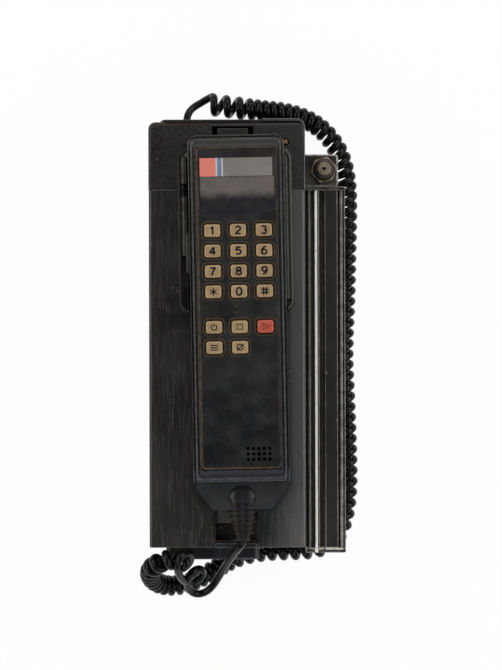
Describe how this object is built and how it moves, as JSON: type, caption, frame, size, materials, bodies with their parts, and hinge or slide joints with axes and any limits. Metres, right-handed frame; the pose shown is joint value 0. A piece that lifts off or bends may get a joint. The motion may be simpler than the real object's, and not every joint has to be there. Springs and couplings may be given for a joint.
{
  "type": "cellular bag phone",
  "caption": "Flat transportable telephone on its back: box case with heat-sink side, handset in a raised cradle, numbered keys and a curly cord.",
  "frame": {"origin": "on the surface that the case lies on, under the middle of its bounding box without the cord", "axes": "+X to the heat-sink side, +Y to the antenna end, +Z out of the front face with the keys"},
  "size_m": [0.1334, 0.3091, 0.0861],
  "materials": {
    "case_plastic": "satin black",
    "grained_cover": "vertical grained black",
    "pebbled_plastic": "pebbled black",
    "black_plate": "matt black",
    "bumper_rubber": "worn matt",
    "rubber": "matt",
    "anodised_rail": "black anodised, worn bright on one fin",
    "worn_plate": "worn black",
    "bracket_metal": "black paint with rust",
    "rusty_steel": "rusted",
    "tarnished_brass": "tarnished",
    "tarnished_nut": "tarnished",
    "insulator": "aged white",
    "gold_contact": "dull",
    "tub_plastic": "satin black",
    "pad_rubber": "dusty",
    "channel_plastic": "dusty black",
    "cord_rubber": "semi-gloss",
    "boot_rubber": "matt, dusty in the ribs",
    "cell_wrap": "shrink wrap",
    "circuit_board": "solder mask",
    "tin_can": "tinned",
    "amplifier_block": "milled",
    "socket_plastic": "black",
    "handset_plastic": "fine texture, worn edges",
    "face_black": "satin black",
    "label_print": "grey with red and blue bands",
    "smoked_lens": "smoked, dusty",
    "display_dark": "dark",
    "mat_rubber": "silicone",
    "driver_black": "black",
    "rocker_plastic": "satin black",
    "tan_key": "aged tan",
    "red_key": "red orange"
  },
  "bodies": {
    "case": {"rear_shell": "case_plastic", "rubber_feet": "rubber", "front_cover": "grained_cover", "top_cap": "pebbled_plastic", "cap_screw": "rusty_steel", "top_plate": "black_plate", "base_bumper": "bumper_rubber", "heatsink_rail": "anodised_rail", "rail_end_plate": "worn_plate", "antenna_bracket": "bracket_metal", "jack_shell": "tarnished_brass", "jack_insulator": "insulator", "jack_contact": "gold_contact", "jack_nut": "tarnished_nut", "cradle_tub": "tub_plastic", "cradle_pad_left": "pad_rubber", "cradle_pad_right": "pad_rubber", "handset_rest_pads": "pad_rubber", "cord_channel": "channel_plastic", "cord_grommet": "cord_rubber", "cord_lead_case": "cord_rubber", "cord_coil": "cord_rubber", "cord_lead_handset": "cord_rubber", "battery_cells": "cell_wrap", "transceiver_board": "circuit_board", "shield_can": "tin_can", "power_amplifier": "amplifier_block", "power_socket": "socket_plastic"},
    "handset": {"handset_frame": "handset_plastic", "face_panel": "face_black", "label_strip": "label_print", "display_lens": "smoked_lens", "display_module": "display_dark", "key_mat": "mat_rubber", "handset_board": "circuit_board", "earpiece": "driver_black", "microphone": "driver_black", "handset_shell": "handset_plastic", "handset_screws": "rusty_steel", "cord_boot": "boot_rubber"},
    "rocker": {"volume_rocker": "rocker_plastic"},
    "tab": {"release_tab": "pebbled_plastic"},
    "key_1_body": {"key_1": "tan_key"},
    "key_2_body": {"key_2": "tan_key"},
    "key_3_body": {"key_3": "tan_key"},
    "key_4_body": {"key_4": "tan_key"},
    "key_5_body": {"key_5": "tan_key"},
    "key_6_body": {"key_6": "tan_key"},
    "key_7_body": {"key_7": "tan_key"},
    "key_8_body": {"key_8": "tan_key"},
    "key_9_body": {"key_9": "tan_key"},
    "key_star_body": {"key_star": "tan_key"},
    "key_0_body": {"key_0": "tan_key"},
    "key_hash_body": {"key_hash": "tan_key"},
    "key_power_body": {"key_power": "tan_key"},
    "key_end_body": {"key_end": "tan_key"},
    "key_send_body": {"key_send": "red_key"},
    "key_function_body": {"key_function": "tan_key"},
    "key_mute_body": {"key_mute": "tan_key"}
  },
  "joints": [
    {"name": "handset_lift", "type": "slide", "parent": "case", "child": "handset", "axis": [0, 0, 1], "range_m": [0, 0.045]},
    {"name": "release_tab_press", "type": "hinge", "parent": "case", "child": "tab", "pos_m": [-0.0084, 0.1168, 0.0568], "axis": [1, 0, 0], "range_deg": [-6, 0], "stiffness_Nm_per_rad": 0.6, "springref_deg": 1.15},
    {"name": "volume_rock", "type": "hinge", "parent": "handset", "child": "rocker", "pos_m": [-0.03273, 0.05146, 0.0778], "axis": [0, 0, 1], "range_deg": [-3, 3], "stiffness_Nm_per_rad": 0.3},
    {"name": "key_1_press", "type": "slide", "parent": "handset", "child": "key_1_body", "axis": [0, 0, -1], "range_m": [0, 0.0012], "stiffness_N_per_m": 700, "springref_m": -0.0004},
    {"name": "key_2_press", "type": "slide", "parent": "handset", "child": "key_2_body", "axis": [0, 0, -1], "range_m": [0, 0.0012], "stiffness_N_per_m": 700, "springref_m": -0.0004},
    {"name": "key_3_press", "type": "slide", "parent": "handset", "child": "key_3_body", "axis": [0, 0, -1], "range_m": [0, 0.0012], "stiffness_N_per_m": 700, "springref_m": -0.0004},
    {"name": "key_4_press", "type": "slide", "parent": "handset", "child": "key_4_body", "axis": [0, 0, -1], "range_m": [0, 0.0012], "stiffness_N_per_m": 700, "springref_m": -0.0004},
    {"name": "key_5_press", "type": "slide", "parent": "handset", "child": "key_5_body", "axis": [0, 0, -1], "range_m": [0, 0.0012], "stiffness_N_per_m": 700, "springref_m": -0.0004},
    {"name": "key_6_press", "type": "slide", "parent": "handset", "child": "key_6_body", "axis": [0, 0, -1], "range_m": [0, 0.0012], "stiffness_N_per_m": 700, "springref_m": -0.0004},
    {"name": "key_7_press", "type": "slide", "parent": "handset", "child": "key_7_body", "axis": [0, 0, -1], "range_m": [0, 0.0012], "stiffness_N_per_m": 700, "springref_m": -0.0004},
    {"name": "key_8_press", "type": "slide", "parent": "handset", "child": "key_8_body", "axis": [0, 0, -1], "range_m": [0, 0.0012], "stiffness_N_per_m": 700, "springref_m": -0.0004},
    {"name": "key_9_press", "type": "slide", "parent": "handset", "child": "key_9_body", "axis": [0, 0, -1], "range_m": [0, 0.0012], "stiffness_N_per_m": 700, "springref_m": -0.0004},
    {"name": "key_star_press", "type": "slide", "parent": "handset", "child": "key_star_body", "axis": [0, 0, -1], "range_m": [0, 0.0012], "stiffness_N_per_m": 700, "springref_m": -0.0004},
    {"name": "key_0_press", "type": "slide", "parent": "handset", "child": "key_0_body", "axis": [0, 0, -1], "range_m": [0, 0.0012], "stiffness_N_per_m": 700, "springref_m": -0.0004},
    {"name": "key_hash_press", "type": "slide", "parent": "handset", "child": "key_hash_body", "axis": [0, 0, -1], "range_m": [0, 0.0012], "stiffness_N_per_m": 700, "springref_m": -0.0004},
    {"name": "key_power_press", "type": "slide", "parent": "handset", "child": "key_power_body", "axis": [0, 0, -1], "range_m": [0, 0.0012], "stiffness_N_per_m": 700, "springref_m": -0.0004},
    {"name": "key_end_press", "type": "slide", "parent": "handset", "child": "key_end_body", "axis": [0, 0, -1], "range_m": [0, 0.0012], "stiffness_N_per_m": 700, "springref_m": -0.0004},
    {"name": "key_send_press", "type": "slide", "parent": "handset", "child": "key_send_body", "axis": [0, 0, -1], "range_m": [0, 0.0012], "stiffness_N_per_m": 700, "springref_m": -0.0004},
    {"name": "key_function_press", "type": "slide", "parent": "handset", "child": "key_function_body", "axis": [0, 0, -1], "range_m": [0, 0.0012], "stiffness_N_per_m": 700, "springref_m": -0.0004},
    {"name": "key_mute_press", "type": "slide", "parent": "handset", "child": "key_mute_body", "axis": [0, 0, -1], "range_m": [0, 0.0012], "stiffness_N_per_m": 700, "springref_m": -0.0004}
  ]
}
